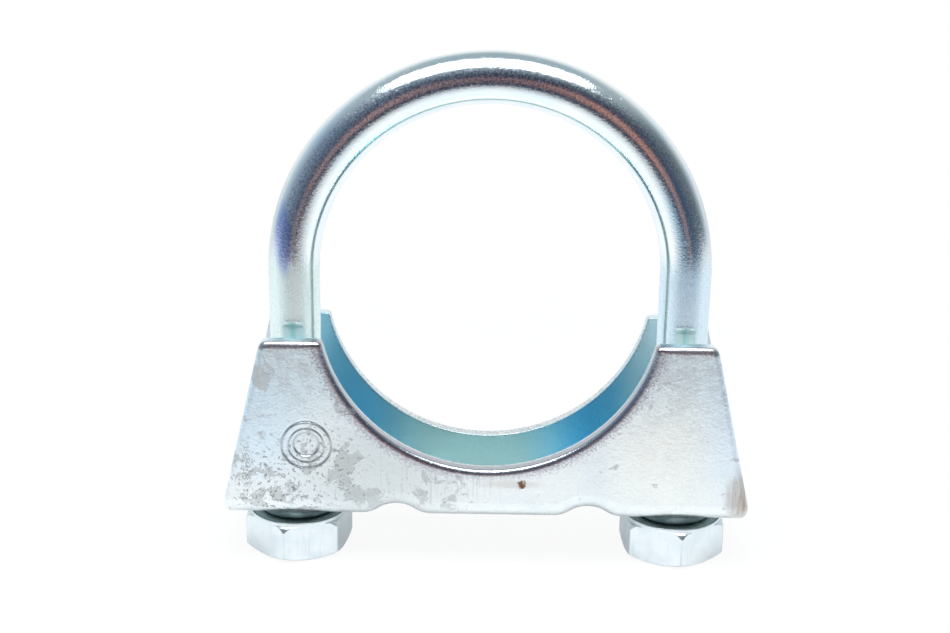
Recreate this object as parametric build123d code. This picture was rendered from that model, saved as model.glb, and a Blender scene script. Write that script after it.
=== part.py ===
"""Exhaust clamp: a bent rod with threaded legs, a folded saddle and two collared nuts.

Millimetres, +Z up, +X to the right, +Y from the front plate to the back plate. The clamp stands
on its nuts, and the origin lies on that surface, midway between the legs. It is drawn loose, as
sold: the bow stands SLACK higher over the cradle than it does round a pipe.
"""
import os
from math import asin, degrees, radians, sqrt, tan

from build123d import *

# Pipe and rod
PIPE_D = 64.0          # outside diameter of the pipe
LEG_PLAY = 0.6         # between the pipe and each leg
ROD_D = 9.8            # an M10 rod as plated
TIP_CHAMFER = 1.0      # at the end of each leg
SLACK = 4.65           # how far the bow comes down before it grips the pipe

# Pressed mark on the front of each leg
MARK_DEPTH = 0.4
MARK_ABOVE_TOWER = 1.8
MARK_LENGTH = 9.0
MARK_ARCH = 0.7        # rise of its round top

# Saddle sheet
SHEET = 3.0
SIDE_PLAY = 2.6        # between a leg and each plate
FOLD_R = 4.0           # outside radius of the two long folds

# Saddle outline, seen from the front
CRADLE_PLAY = 0.3      # cradle radius beyond the pipe's
CRADLE_FLOOR = 10.55   # lowest point of the cradle over the underside
TOWER_HEIGHT = 36.2
SHOULDER = 5.7         # top of a tower beyond its leg's axis
SHOULDER_R = 2.0
FOOT_REACH = 14.3      # underside beyond the leg's axis
BEAD_HEIGHT = 2.1      # the raised beads across the web
BEAD_LENGTH = 13.6
BEAD_SHIFT = 1.2       # both beads stand this far to the right

# Leg holes and the pressed seats round them
HOLE_PLAY = 0.4
SEAT_DROP = 1.6        # seat face below the underside
SEAT_WIDTH = 2.4
SEAT_FLARE = 1.2       # how much wider the seat is at its root
SEAT_ROOT = 1.0        # its root lies this far inside the web
DISH_FLARE = 1.1       # dished top of each hole
DISH_DEPTH = 2.2

# Nuts
NUT_AF = 19.0
NUT_HEIGHT = 8.4       # with the collar
COLLAR_LIP = 0.4       # collar radius beyond the flats
COLLAR_HEIGHT = 0.8
COLLAR_BREAK = 0.25    # bevel on the collar's rim
THREAD_PLAY = 0.06     # between the rod and a nut's bore
BORE_CHAMFER = 0.7
FACE_INSET = 0.5       # free face's circle inside the flats
FACE_SLOPE = 30.0      # degrees, of the chamfer at the free face
COLLAR_SLOPE = 45.0    # degrees, of the chamfer under the collar
NUT_TURNS = {"nut_left": -10.7, "nut_right": 5.1}  # degrees that each nut happens to stand turned

# Worked out from the sizes above
rod_r = ROD_D / 2
leg_x = PIPE_D / 2 + LEG_PLAY + rod_r
underside = NUT_HEIGHT + SEAT_DROP
tower_top = underside + TOWER_HEIGHT
cradle_r = PIPE_D / 2 + CRADLE_PLAY
cradle_z = underside + CRADLE_FLOOR + cradle_r
bow_z = cradle_z + SLACK
shoulder_x = leg_x + SHOULDER
foot_x = leg_x + FOOT_REACH
half_channel = rod_r + SIDE_PLAY
half_depth = half_channel + SHEET
hole_r = rod_r + HOLE_PLAY
seat_r = hole_r + SEAT_WIDTH


def u_bolt():
    """The rod: two straight legs and a half-circle bow, with a pressed mark on each leg."""
    left = Line((-leg_x, 0, 0), (-leg_x, 0, bow_z))
    bow = ThreePointArc((-leg_x, 0, bow_z), (0, 0, bow_z + leg_x), (leg_x, 0, bow_z))
    right = Line((leg_x, 0, bow_z), (leg_x, 0, 0))
    section = Plane((-leg_x, 0, 0)) * Circle(rod_r)
    rod = sweep(section, path=Wire([left, bow, right]))
    rod = chamfer(rod.edges().group_by(Axis.Z)[0], TIP_CHAMFER)
    for x in (-leg_x, leg_x):
        rod -= press_mark(x)
    return rod


def press_mark(x):
    """The bite of the arch-topped flat on the front of the leg at x."""
    half = sqrt(rod_r**2 - (rod_r - MARK_DEPTH) ** 2)
    top = tower_top + MARK_ABOVE_TOWER
    spring = top - MARK_ARCH
    low = top - MARK_LENGTH
    sides = Polyline((x - half, spring), (x - half, low), (x + half, low), (x + half, spring))
    arch = ThreePointArc((x + half, spring), (x, top), (x - half, spring))
    bite = Plane.XZ.offset(rod_r - MARK_DEPTH) * make_face([*sides.edges(), arch])
    return extrude(bite, amount=2 * MARK_DEPTH)


def web_line(rise):
    """The web's line from end to end, raised by rise: flat, with a smooth hump for each bead."""
    half = BEAD_LENGTH / 2
    bend = (half**2 + BEAD_HEIGHT**2) / (4 * BEAD_HEIGHT)
    swing = degrees(asin(half / (2 * bend)))
    foot_centre = underside + bend
    crest_centre = underside + BEAD_HEIGHT - bend
    line, start = [], (-foot_x, underside + rise)
    for x in (BEAD_SHIFT - leg_x / 2, BEAD_SHIFT + leg_x / 2):
        line.append(Line(start, (x - half, underside + rise)))
        line.append(CenterArc((x - half, foot_centre), bend - rise, -90, swing))
        line.append(CenterArc((x, crest_centre), bend + rise, 90 + swing, -2 * swing))
        line.append(CenterArc((x + half, foot_centre), bend - rise, -90 - swing, swing))
        start = (x + half, underside + rise)
    line.append(Line(start, (foot_x, underside + rise)))
    return line


def plate_outline():
    """The saddle seen from the front: two towers, the cradle between them and the web's line."""
    tip_x = sqrt(cradle_r**2 - (cradle_z - tower_top) ** 2)
    left = Polyline((-foot_x, underside), (-shoulder_x, tower_top), (-tip_x, tower_top))
    cradle = ThreePointArc((-tip_x, tower_top), (0, cradle_z - cradle_r), (tip_x, tower_top))
    right = Polyline((tip_x, tower_top), (shoulder_x, tower_top), (foot_x, underside))
    outline = make_face([*left.edges(), cradle, *right.edges(), *web_line(0)])
    corners = outline.vertices().group_by(Axis.Y)[-1].sort_by(Axis.X)
    return fillet([corners[0], corners[-1]], SHOULDER_R)


def channel_outline():
    """The space between the plates, seen from the front: all that lies above the web."""
    end = foot_x + SHEET
    top = tower_top + SHEET
    floor = underside + SHEET
    sides = Polyline((-foot_x, floor), (-end, floor), (-end, top), (end, top), (end, floor), (foot_x, floor))
    return make_face([*sides.edges(), *web_line(SHEET)])


def folded_sheet():
    """Two plates and the web between them, with both folds rounded inside and out."""
    block = extrude(Plane.XZ * plate_outline(), amount=half_depth, both=True)
    block = fillet(long_edges(block, half_depth, underside + BEAD_HEIGHT), FOLD_R)
    space = extrude(Plane.XZ * channel_outline(), amount=half_channel, both=True)
    space = fillet(long_edges(space, half_channel, underside + SHEET + BEAD_HEIGHT), FOLD_R - SHEET)
    return block - space


def long_edges(solid, y, top):
    """The edges that run along the web's line on the planes at -y and y, no higher than top."""
    def runs_along(edge):
        ends = (edge @ 0, edge @ 0.5, edge @ 1)
        return all(abs(abs(p.Y) - y) < 0.01 and p.Z < top + 0.01 for p in ends)

    return solid.edges().filter_by(runs_along)


def saddle():
    """The folded sheet with a seat pressed down round each leg hole."""
    sheet = folded_sheet()
    for x in (-leg_x, leg_x):
        seat = Polyline(
            (0, NUT_HEIGHT), (seat_r, NUT_HEIGHT), (seat_r + SEAT_FLARE, underside + SEAT_ROOT),
            (0, underside + SEAT_ROOT), close=True,
        )
        sheet += turned(seat, x)
        dish = Polyline(
            (0, NUT_HEIGHT - SHEET), (hole_r, NUT_HEIGHT - SHEET), (hole_r, underside + SHEET - DISH_DEPTH),
            (hole_r + DISH_FLARE, underside + SHEET), (hole_r + DISH_FLARE, underside + 2 * SHEET),
            (0, underside + 2 * SHEET), close=True,
        )
        sheet -= turned(dish, x)
    return sheet


def turned(profile, x):
    """The closed (radius, height) profile turned round the leg's axis at x."""
    face = Plane.XZ * make_face(profile.edges())
    return Pos(x, 0, 0) * revolve(face, Axis.Z)


def nut(x, turn):
    """A hex nut with a round collar on top, chamfered under it and at the free face."""
    flat_r = NUT_AF / 2
    corner_r = flat_r / (sqrt(3) / 2)
    collar_r = flat_r + COLLAR_LIP
    face_r = flat_r - FACE_INSET
    hex_top = NUT_HEIGHT - COLLAR_HEIGHT
    blank = Polyline(
        (0, 0), (face_r, 0), (corner_r, (corner_r - face_r) * tan(radians(FACE_SLOPE))),
        (corner_r, hex_top - (corner_r - collar_r) * tan(radians(COLLAR_SLOPE))),
        (collar_r, hex_top), (0, hex_top), close=True,
    )
    prism = extrude(RegularPolygon(corner_r, 6, rotation=30 + turn), amount=hex_top)
    collar = Pos(0, 0, hex_top) * extrude(Circle(collar_r), amount=COLLAR_HEIGHT)
    collar = chamfer(collar.edges().filter_by(GeomType.CIRCLE), COLLAR_BREAK)
    body = Pos(x, 0, 0) * (prism & turned(blank, 0)) + Pos(x, 0, 0) * collar
    bore_r = rod_r + THREAD_PLAY
    bore = Polyline(
        (0, 0), (bore_r + BORE_CHAMFER, 0), (bore_r, BORE_CHAMFER), (bore_r, NUT_HEIGHT - BORE_CHAMFER),
        (bore_r + BORE_CHAMFER, NUT_HEIGHT), (0, NUT_HEIGHT), close=True,
    )
    return body - turned(bore, x)


pieces = {
    "u_bolt": u_bolt(),
    "saddle": saddle(),
    "nut_left": nut(-leg_x, NUT_TURNS["nut_left"]),
    "nut_right": nut(leg_x, NUT_TURNS["nut_right"]),
}
os.makedirs("parts", exist_ok=True)
for name, piece in pieces.items():
    export_step(piece, f"parts/{name}.step")
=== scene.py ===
# %% [markdown]
# # An exhaust clamp in bright zinc
# The clamp has four pieces: a bent rod with a thread on both legs, a saddle folded from thick
# sheet, and two nuts with a round collar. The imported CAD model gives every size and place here,
# so the script first loads it as a fixed frame. Blender then adds what CAD leaves out: rolled
# edges, threads, small press marks and the zinc itself.

from math import atan2, cos, hypot, pi, radians, sin, sqrt, tan
from types import SimpleNamespace

import bpy
import numpy as np
from mathutils import Matrix, Vector
from mathutils.geometry import delaunay_2d_cdt


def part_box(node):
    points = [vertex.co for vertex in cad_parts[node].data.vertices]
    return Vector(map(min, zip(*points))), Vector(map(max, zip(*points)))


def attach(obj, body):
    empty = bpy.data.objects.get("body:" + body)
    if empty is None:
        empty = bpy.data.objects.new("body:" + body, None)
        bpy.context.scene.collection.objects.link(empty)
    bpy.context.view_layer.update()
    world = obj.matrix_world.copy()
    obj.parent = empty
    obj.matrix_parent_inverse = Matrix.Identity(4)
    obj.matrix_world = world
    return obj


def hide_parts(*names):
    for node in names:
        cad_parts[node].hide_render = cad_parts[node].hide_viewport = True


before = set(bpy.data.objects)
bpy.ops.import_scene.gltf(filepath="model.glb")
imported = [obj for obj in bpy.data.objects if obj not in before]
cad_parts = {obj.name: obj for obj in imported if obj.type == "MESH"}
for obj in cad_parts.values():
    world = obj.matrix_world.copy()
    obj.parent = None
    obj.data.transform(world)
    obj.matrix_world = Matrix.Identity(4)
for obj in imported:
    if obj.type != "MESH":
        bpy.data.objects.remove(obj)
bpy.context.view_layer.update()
MM = 0.001
print("nodes:", sorted(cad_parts))

# %% Sizes read from the frame
rod_high, saddle_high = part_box("u_bolt")[1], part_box("saddle")[1]
rod_r = round(rod_high.y, 4)
leg_x = round(rod_high.x, 4) - rod_r
bow_z = round(rod_high.z, 4) - rod_r - leg_x
half_depth = round(saddle_high.y, 4)
foot_x = round(saddle_high.x, 4)
tower_top = round(saddle_high.z, 4)
nut_height = round(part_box("nut_left")[1].z, 4)
print(f"rod radius {rod_r / MM:.2f}, leg {leg_x / MM:.2f}, bow centre {bow_z / MM:.2f} mm")
print(f"saddle to x {foot_x / MM:.2f}, y {half_depth / MM:.2f}, z {tower_top / MM:.2f} mm")

# %% [markdown]
# ## The camera
# The photograph was taken from the front, a little above the clamp and quite close, so the
# perspective is strong. The place, the tilt and the lens were worked out by fitting the clamp's
# known corners to where they lie in the picture. A camera's own axes are right, up and backward,
# so three directions in world space make its rotation.

# %% Camera
CAMERA_PLACE = Vector((-2.20, -287.12, 144.44)) * MM
CAMERA_YAW, CAMERA_PITCH, CAMERA_ROLL = -0.0018, 0.3226, -0.0152
LENS, SENSOR_WIDTH = 59.32, 36
CLIP_START = 0.01


def camera_axes(yaw, pitch, roll):
    """The camera's right, up and forward directions."""
    forward = Vector((sin(yaw) * cos(pitch), cos(yaw) * cos(pitch), -sin(pitch)))
    right = Vector((cos(yaw), -sin(yaw), 0))
    down = forward.cross(right)
    return cos(roll) * right + sin(roll) * down, sin(roll) * right - cos(roll) * down, forward


camera = bpy.data.objects.new("camera", bpy.data.cameras.new("camera"))
bpy.context.scene.collection.objects.link(camera)
bpy.context.scene.camera = camera
camera.data.lens = LENS
camera.data.sensor_width = SENSOR_WIDTH
camera.data.clip_start = CLIP_START
right, up, forward = camera_axes(CAMERA_YAW, CAMERA_PITCH, CAMERA_ROLL)
rotation = Matrix((right, up, -forward)).transposed().to_4x4()
camera.matrix_world = Matrix.Translation(CAMERA_PLACE) @ rotation
print("camera looks along", [round(v, 3) for v in forward])

# %% [markdown]
# ## Surfaces from formulas
# Bright metal shows every fault in a surface's normals as a dent in a reflection. A bevel or a
# subdivision only guesses the normals. Here each surface is a formula, sampled on a grid of
# places, and the formula's own slopes give the normals, which are stored on the mesh as custom
# normals. Patches that meet share their border points, so they weld into one closed skin.

# %% The skin class
WELD = 1e-6             # places are rounded to this, and equal ones become one point
WELD_SHIFT = 0.37       # keeps round sizes away from where the rounding turns over
SLOPE_STEP = 1e-4       # of a patch's span, for its slopes
LEAST_SPAN = 1e-3
TINY = 1e-12


def unit(vectors):
    """Vectors of length one along the last axis."""
    return vectors / np.maximum(np.linalg.norm(vectors, axis=-1, keepdims=True), TINY)


def stacked(x, y, z):
    """Points from three arrays that broadcast together."""
    return np.stack(np.broadcast_arrays(x, y, z), axis=-1).astype(float)


class Skin:
    """Patches of one surface, as corners of faces with their normals, welded into one mesh."""

    def __init__(self):
        self.corners, self.normals = [], []

    def sheet(self, point, normal):
        """Quads between neighbouring rows and columns of points."""
        for store, grid in ((self.corners, point), (self.normals, normal)):
            quads = np.stack((grid[:-1, :-1], grid[1:, :-1], grid[1:, 1:], grid[:-1, 1:]), axis=2)
            store.append(quads.reshape(-1, 4, 3))

    def patch(self, form, u, v, outward=1):
        """Quads on form(u, v) at the places that two arrays give."""
        step_u, step_v = (SLOPE_STEP * max(np.ptp(w), LEAST_SPAN) for w in (u, v))
        along_u = form(u + step_u, v) - form(u - step_u, v)
        along_v = form(u, v + step_v) - form(u, v - step_v)
        self.sheet(form(u, v), outward * unit(np.cross(along_u, along_v)))

    def triangles(self, corners, normal):
        """Flat triangles that all face the same way."""
        corners = np.concatenate((corners, corners[:, 2:]), axis=1)
        self.corners.append(corners)
        self.normals.append(np.broadcast_to(np.asarray(normal, float), corners.shape))

    def piece(self, name, body, node, slot):
        """The welded mesh as an object that rides on a body and stands for a CAD node."""
        corners, normals = np.concatenate(self.corners), np.concatenate(self.normals)
        facing = np.einsum("ij,ij->i", face_directions(corners), normals.mean(axis=1))
        wrong = facing < 0
        corners[wrong], normals[wrong] = corners[wrong, ::-1], normals[wrong, ::-1]
        keys = np.round(corners.reshape(-1, 3) / WELD + WELD_SHIFT).astype(np.int64)
        _, first, index = np.unique(keys, axis=0, return_index=True, return_inverse=True)
        faces, face_normals = real_faces(index.reshape(-1, 4), normals)
        mesh = bpy.data.meshes.new(name)
        mesh.from_pydata(corners.reshape(-1, 3)[first], [], faces)
        mesh.shade_smooth()
        mesh.normals_split_custom_set(np.concatenate(face_normals).tolist())
        piece = bpy.data.objects.new(name, mesh)
        bpy.context.scene.collection.objects.link(piece)
        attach(piece, body)
        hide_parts(node)
        print(f"{name}: {len(mesh.vertices)} points, {len(mesh.polygons)} faces")
        return piece


def face_directions(corners):
    """The direction that each face turns to, from its two diagonals."""
    return np.cross(corners[:, 2] - corners[:, 0], corners[:, 3] - corners[:, 1])


def real_faces(index, normals):
    """Quads whose corners differ, and triangles where two neighbouring corners are one point."""
    same = index == np.roll(index, -1, axis=1)
    crossed = (index[:, 0] == index[:, 2]) | (index[:, 1] == index[:, 3])
    whole = (same.sum(axis=1) == 0) & ~crossed
    faces, kept = index[whole].tolist(), [normals[whole].reshape(-1, 3)]
    for k in range(4):
        three = same[:, k] & (same.sum(axis=1) == 1) & ~crossed
        rest = [c for c in range(4) if c != k]
        faces += index[three][:, rest].tolist()
        kept.append(normals[three][:, rest].reshape(-1, 3))
    return faces, kept


# %% [markdown]
# ## The bent rod
# The real rod is cut from bar, threaded at both ends by rolling, bent round a former and plated.
# One way to make it is a curve with a round bevel, but a curve can't carry a thread or a press
# mark. So the rod is a formula: a distance along its axis and a turn round it give a point. The
# flat marks that a press leaves just above the saddle push points inward, and the metal that gave
# way stands up as a low lip over each mark.

# %% Rod shape
ROD_TURNS = 72
BOW_STEPS = 150
MARK_DEPTH = 0.4 * MM
MARK_TOP = tower_top + 1.8 * MM
MARK_LENGTH = 9.0 * MM
MARK_ARCH = 0.7 * MM
MARK_WALL = 0.22 * MM
LIP_HEIGHT = 0.20 * MM
LIP_WIDTH = 0.30 * MM
LIP_ENDS = 0.6          # of half the mark's width, over which the lip fades
FRONT, FRONT_FADE = 0.8, 0.1    # of the rod's radius: only the front of a leg has a lip


def smooth(value):
    """Smooth rise from 0 to 1 as value goes from 0 to 1."""
    value = np.clip(value, 0, 1)
    return value * value * (3 - 2 * value)


def pressed(point):
    """Rod points with the arch-topped flat pressed into the front of each leg."""
    across = np.abs(point[..., 0]) - leg_x
    half = sqrt(rod_r**2 - (rod_r - MARK_DEPTH) ** 2)
    top = MARK_TOP - MARK_ARCH * np.clip(across / half, -1, 1) ** 2
    height = point[..., 2]
    inside = smooth((top - height) / MARK_WALL) * smooth((height - MARK_TOP + MARK_LENGTH) / MARK_WALL)
    front = smooth((-point[..., 1] - FRONT * rod_r) / (FRONT_FADE * rod_r))
    depth = np.maximum(-point[..., 1] - (rod_r - MARK_DEPTH), 0)
    lip = LIP_HEIGHT * np.exp(-(((height - top - LIP_WIDTH) / LIP_WIDTH) ** 2)) * front
    moved = point.copy()
    moved[..., 1] += inside * depth - lip * smooth((half - np.abs(across)) / (LIP_ENDS * half))
    return moved


def rod_form(along, turn):
    """The point at a distance along the rod from its left tip, and at a turn round it."""
    swing = np.clip((along - bow_z) / leg_x, 0, pi)
    out = stacked(-np.cos(swing), 0, np.sin(swing))
    drop = np.minimum(along - bow_z, 0) - np.maximum(along - bow_z - pi * leg_x, 0)
    axis = stacked(0, 0, bow_z) + leg_x * out + stacked(0, 0, drop)
    ring = np.cos(turn)[..., None] * out + stacked(0, np.sin(turn), 0)
    return pressed(axis + rod_r * ring)


# %% [markdown]
# ## The threads
# A rolled M10 thread is a ridge that climbs 1.5 mm in each turn. If the grid's rows stay level,
# the ridge crosses them and looks like a saw. Here every row climbs with the ridge, so the crest
# and the groove always lie on mesh edges. Rows that run past an end are held at that end, where
# they weld together. The same formula, a little wider, cuts the nuts' threads.

# %% Thread shape
PITCH = 1.5 * MM
THREAD_DEPTH = 0.92 * MM
THREAD_LENGTH = 30.0 * MM
THREAD_RUNOUT = 1.5 * PITCH
CREST, ROOT = 0.125, 0.167
TIP_CHAMFER = 1.0 * MM
NUT_CREST_R = 4.19 * MM
NUT_THREAD_PLAY = 0.08 * MM
THREAD_ROWS = (0.0, CREST / 2, 0.15, 0.25, 0.35, (1 - ROOT) / 2, 0.5)   # of the pitch, over the crest


def groove(z, turn):
    """How deep the thread's groove is at a height and a turn, from 0 on the crest to 1."""
    climb = z / PITCH - turn / (2 * pi)
    wave = 2 * np.abs(climb - np.round(climb))
    return np.clip((wave - CREST) / (1 - CREST - ROOT), 0, 1)


def climbing_rows(low, high, turn):
    """Heights and turns of a grid whose rows climb with the thread, held between two heights."""
    phases = sorted(THREAD_ROWS + tuple(1 - p for p in THREAD_ROWS[1:-1]))
    first, last = int(low / PITCH) - 2, int(high / PITCH) + 1
    row = np.array([whole + phase for whole in range(first, last + 1) for phase in phases])
    height = PITCH * (row[:, None] + turn[None, :] / (2 * pi))
    return np.clip(height, low, high), np.broadcast_to(turn, height.shape)


def leg_thread(x):
    """The formula of the threaded end of the leg at x."""
    def form(z, turn):
        fade = np.clip((THREAD_LENGTH - z) / THREAD_RUNOUT, 0, 1)
        r = rod_r - THREAD_DEPTH * fade * groove(z, turn)
        r = np.minimum(r, rod_r - TIP_CHAMFER + np.maximum(z, 0))
        return stacked(x + r * np.cos(turn), r * np.sin(turn), z)
    return form


# %% Rod mesh
LOW_SPAN, TOP_SPAN = (-0.2 * MM, 0.5 * MM), (-1.2 * MM, 1.0 * MM)   # close rows about the mark's ends
ROW_COUNTS = (4, 7, 4, 27, 4)


def disc(skin, x, z, r, turn, facing):
    """A flat round face, as triangles round its middle."""
    rim = stacked(x + r * np.cos(turn), r * np.sin(turn), z)
    middle = np.broadcast_to((x, 0.0, z), rim[:-1].shape)
    skin.triangles(np.stack((middle, rim[:-1], rim[1:]), axis=1), (0, 0, facing))


def leg_rows():
    """Heights of the rows on a plain leg, close together where the mark begins and ends."""
    low = [MARK_TOP - MARK_LENGTH + step for step in LOW_SPAN]
    high = [MARK_TOP + step for step in TOP_SPAN]
    stops = (THREAD_LENGTH, *low, *high, bow_z)
    runs = zip(stops, stops[1:], ROW_COUNTS)
    return np.concatenate([np.linspace(start, end, count + 1)[:-1] for start, end, count in runs])


def build_rod():
    """The whole rod: two threaded ends, two legs and the bow."""
    skin = Skin()
    leg = leg_rows()
    bow = np.linspace(bow_z, bow_z + pi * leg_x, BOW_STEPS + 1)
    whole = 2 * bow_z + pi * leg_x
    along = np.concatenate((leg, bow, whole - leg[::-1]))
    turn = np.linspace(0, 2 * pi, ROD_TURNS + 1)
    skin.patch(rod_form, *np.meshgrid(along, turn, indexing="ij"))
    for x in (-leg_x, leg_x):
        skin.patch(leg_thread(x), *climbing_rows(0.0, THREAD_LENGTH, turn), outward=-1)
        disc(skin, x, 0.0, rod_r - TIP_CHAMFER, turn, -1)
    return skin.piece("rod_plated", "bow", "u_bolt", "rod")


rod = build_rod()

# %% [markdown]
# ## The nuts
# A nut like this is cold headed: a hexagon with a thin round collar that presses on the saddle.
# Cones cut its corners at the free face and under the collar, which leaves curved edges on the
# flats. A boolean of a cone and a prism makes these edges, but with poor shading. Instead the
# section of the nut is drawn anew at each turn, with the hexagon's radius there, and every corner
# of that section is rounded a little.

# %% Nut shape
NUT_AF = 19.0 * MM
COLLAR_R = NUT_AF / 2 + 0.4 * MM
COLLAR_HEIGHT = 0.8 * MM
FACE_R = NUT_AF / 2 - 0.5 * MM
FACE_SLOPE, COLLAR_SLOPE = radians(30), radians(62)
CUT_R = 10.38 * MM
BORE_R = rod_r + 0.06 * MM
BORE_CHAMFER = 0.7 * MM
HEX_CORNER_R = 0.55 * MM
NUT_EDGE_R = 0.22 * MM
ROUND_SHARE = 0.45      # most of a short side that a rounding takes
LEAST_STEP = 0.02 * MM  # height that is left of the flats under the collar
FLAT_TO, CORNER_FROM = 22.0, 26.5   # degrees from a flat's middle, with no points drawn between them
FLAT_COUNT, CORNER_COUNT = 9, 4
NUT_TURNS = {"nut_left": radians(-10.7), "nut_right": radians(5.1)}


def hexagon_radius(turn):
    """Distance from the axis to a hexagon with rounded corners, at each turn."""
    aside = (turn + pi / 6) % (pi / 3) - pi / 6
    flat = NUT_AF / 2
    corner = (flat - HEX_CORNER_R) / cos(pi / 6)
    flat_end = atan2((flat - HEX_CORNER_R) * tan(pi / 6), flat)
    off = pi / 6 - np.abs(aside)
    reach = np.maximum(HEX_CORNER_R**2 - (corner * np.sin(off)) ** 2, 0)
    return np.where(np.abs(aside) <= flat_end, flat / np.cos(aside), corner * np.cos(off) + np.sqrt(reach))


def rounded(nodes, radius, steps=3):
    """An open outline of (radius, height) nodes for many turns at once, its corners rounded."""
    rows = [nodes[0]]
    for before, node, after in zip(nodes, nodes[1:], nodes[2:]):
        back, ahead = before - node, after - node
        room = np.minimum(np.linalg.norm(back, axis=-1), np.linalg.norm(ahead, axis=-1))
        reach = np.minimum(radius, ROUND_SHARE * room)[..., None]
        start, end = node + unit(back) * reach, node + unit(ahead) * reach
        for t in np.linspace(0, 1, steps + 1):
            rows.append((1 - t) ** 2 * start + 2 * t * (1 - t) * node + t**2 * end)
    return np.stack(rows + [nodes[-1]])


def turned(skin, section, x, turn, outward=1):
    """The sections of one body at each turn, set round the axis at x, with normals from neighbours."""
    r, z = section[..., 0], section[..., 1]
    point = stacked(x + r * np.cos(turn), r * np.sin(turn), z)
    around = np.roll(point[:, :-1], -1, axis=1) - np.roll(point[:, :-1], 1, axis=1)
    around = np.concatenate((around, around[:, :1]), axis=1)
    skin.sheet(point, outward * unit(np.cross(around, np.gradient(point, axis=0))))


def nut_section(turn):
    """The nut's section at each turn, from the edge of the bore at the free face, outward and up."""
    hexagon = hexagon_radius(turn)
    level = np.zeros_like(turn)
    hex_top = nut_height - COLLAR_HEIGHT
    cut_low = (hexagon - FACE_R) * tan(FACE_SLOPE)
    cut_high = hex_top - np.maximum(hexagon - CUT_R, 0) * tan(COLLAR_SLOPE) - LEAST_STEP
    pairs = (
        (level + BORE_R + BORE_CHAMFER, level),
        (level + FACE_R, level),
        (hexagon, cut_low),
        (hexagon, cut_high),
        (np.minimum(hexagon, CUT_R), level + hex_top),
        (level + COLLAR_R, level + hex_top),
        (level + COLLAR_R, level + nut_height),
        (level + BORE_R + BORE_CHAMFER, level + nut_height),
    )
    return [np.stack(pair, axis=-1) for pair in pairs]


def nut_thread(x):
    """The formula of the thread inside the nut at x: the rod's groove filled, with a little play."""
    def form(z, turn):
        r = np.maximum(rod_r + NUT_THREAD_PLAY - THREAD_DEPTH * groove(z, turn), NUT_CREST_R)
        from_face = np.clip(np.minimum(z, nut_height - z), 0, None)
        r = np.maximum(r, BORE_R + BORE_CHAMFER - from_face)
        return stacked(x + r * np.cos(turn), r * np.sin(turn), z)
    return form


def build_nut(name, x, stands_turned):
    """One nut: its outer skin, and the thread inside."""
    skin = Skin()
    corner = np.linspace(-30, -CORNER_FROM, CORNER_COUNT)
    side = np.concatenate((corner, np.linspace(-FLAT_TO, FLAT_TO, FLAT_COUNT), -corner[:0:-1]))
    turn = np.radians(np.concatenate([middle + side for middle in range(0, 360, 60)] + [[330.0]]))
    stood = turn + stands_turned
    turned(skin, rounded(nut_section(turn), NUT_EDGE_R), x, stood)
    skin.patch(nut_thread(x), *climbing_rows(0.0, nut_height, stood))
    return skin.piece(name + "_plated", name, name, "nut")


nuts = [build_nut(name, x, NUT_TURNS[name]) for name, x in (("nut_left", -leg_x), ("nut_right", leg_x))]

# %% [markdown]
# ## The saddle
# The saddle is blanked from 3 mm sheet and folded to a channel. Blanking leaves a soft rolled
# edge where the punch went in and a rough edge where it came out. The fold leaves two long
# round edges, and two beads stiffen the web. A solidify modifier on a flat outline would give the
# thickness, but not the two kinds of edge. So the skin is made of patches: flat plates filled
# with triangles, a folded web from a formula, and one strip that runs round the whole cut edge.

# %% Saddle sizes
SHEET = 3.0 * MM
FOLD_R = 4.0 * MM
SEAT_DROP = 1.6 * MM
CRADLE_R = 32.3 * MM
CRADLE_FLOOR = 10.55 * MM
SHOULDER = 5.7 * MM
SHOULDER_R = 2.0 * MM
TIP_R = 1.0 * MM
BEAD_HEIGHT = 2.1 * MM
BEAD_LENGTH = 13.6 * MM
BEAD_SHIFT = 1.2 * MM
underside = nut_height + SEAT_DROP
cradle_z = underside + CRADLE_FLOOR + CRADLE_R
shoulder_x = leg_x + SHOULDER
half_channel = half_depth - SHEET
end_slope = (foot_x - shoulder_x) / (tower_top - underside)
joint_z = underside + FOLD_R

# %% The web's line and the folds
FOLD_STEPS, FLAT_STEPS = 7, 10
WEB_STEPS = 2 * FOLD_STEPS + FLAT_STEPS


def web_line(x):
    """Height of the web's underside at x, and its slope there: flat, with an arch for each bead."""
    half = BEAD_LENGTH / 2
    bend = (half**2 + BEAD_HEIGHT**2) / (4 * BEAD_HEIGHT)
    place = x - BEAD_SHIFT
    past = np.abs(place) - leg_x / 2
    off = np.abs(past)
    aside = np.where(off < half / 2, off, np.clip(half - off, 0, None))
    fall = bend - np.sqrt(bend**2 - aside**2)
    height = np.where(off < half / 2, BEAD_HEIGHT - fall, fall)
    slope = -aside / np.sqrt(bend**2 - aside**2) * np.sign(past) * np.sign(place)
    return underside + height, slope


def section(v, half, bend, floor):
    """Depth and height above the underside, at step v from the front joint to the back joint."""
    swing = np.clip(np.where(v < WEB_STEPS / 2, v, WEB_STEPS - v) / FOLD_STEPS, 0, 1) * pi / 2
    flat = np.clip((v - WEB_STEPS / 2) / (FLAT_STEPS / 2), -1, 1) * (half - bend)
    return flat + np.sign(v - WEB_STEPS / 2) * bend * np.cos(swing), floor + bend * (1 - np.sin(swing)), swing


def step_at(y, half, bend):
    """The step v at which a section has depth y: the inverse of section."""
    off = np.abs(y)
    curl = FOLD_STEPS * (1 - np.arccos(np.clip((off - half + bend) / bend, 0, 1)) / (pi / 2))
    flat = FLAT_STEPS / 2 * np.clip(off / (half - bend), 0, 1)
    return WEB_STEPS / 2 + np.sign(y) * (flat + np.where(off > half - bend, curl, 0))


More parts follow.
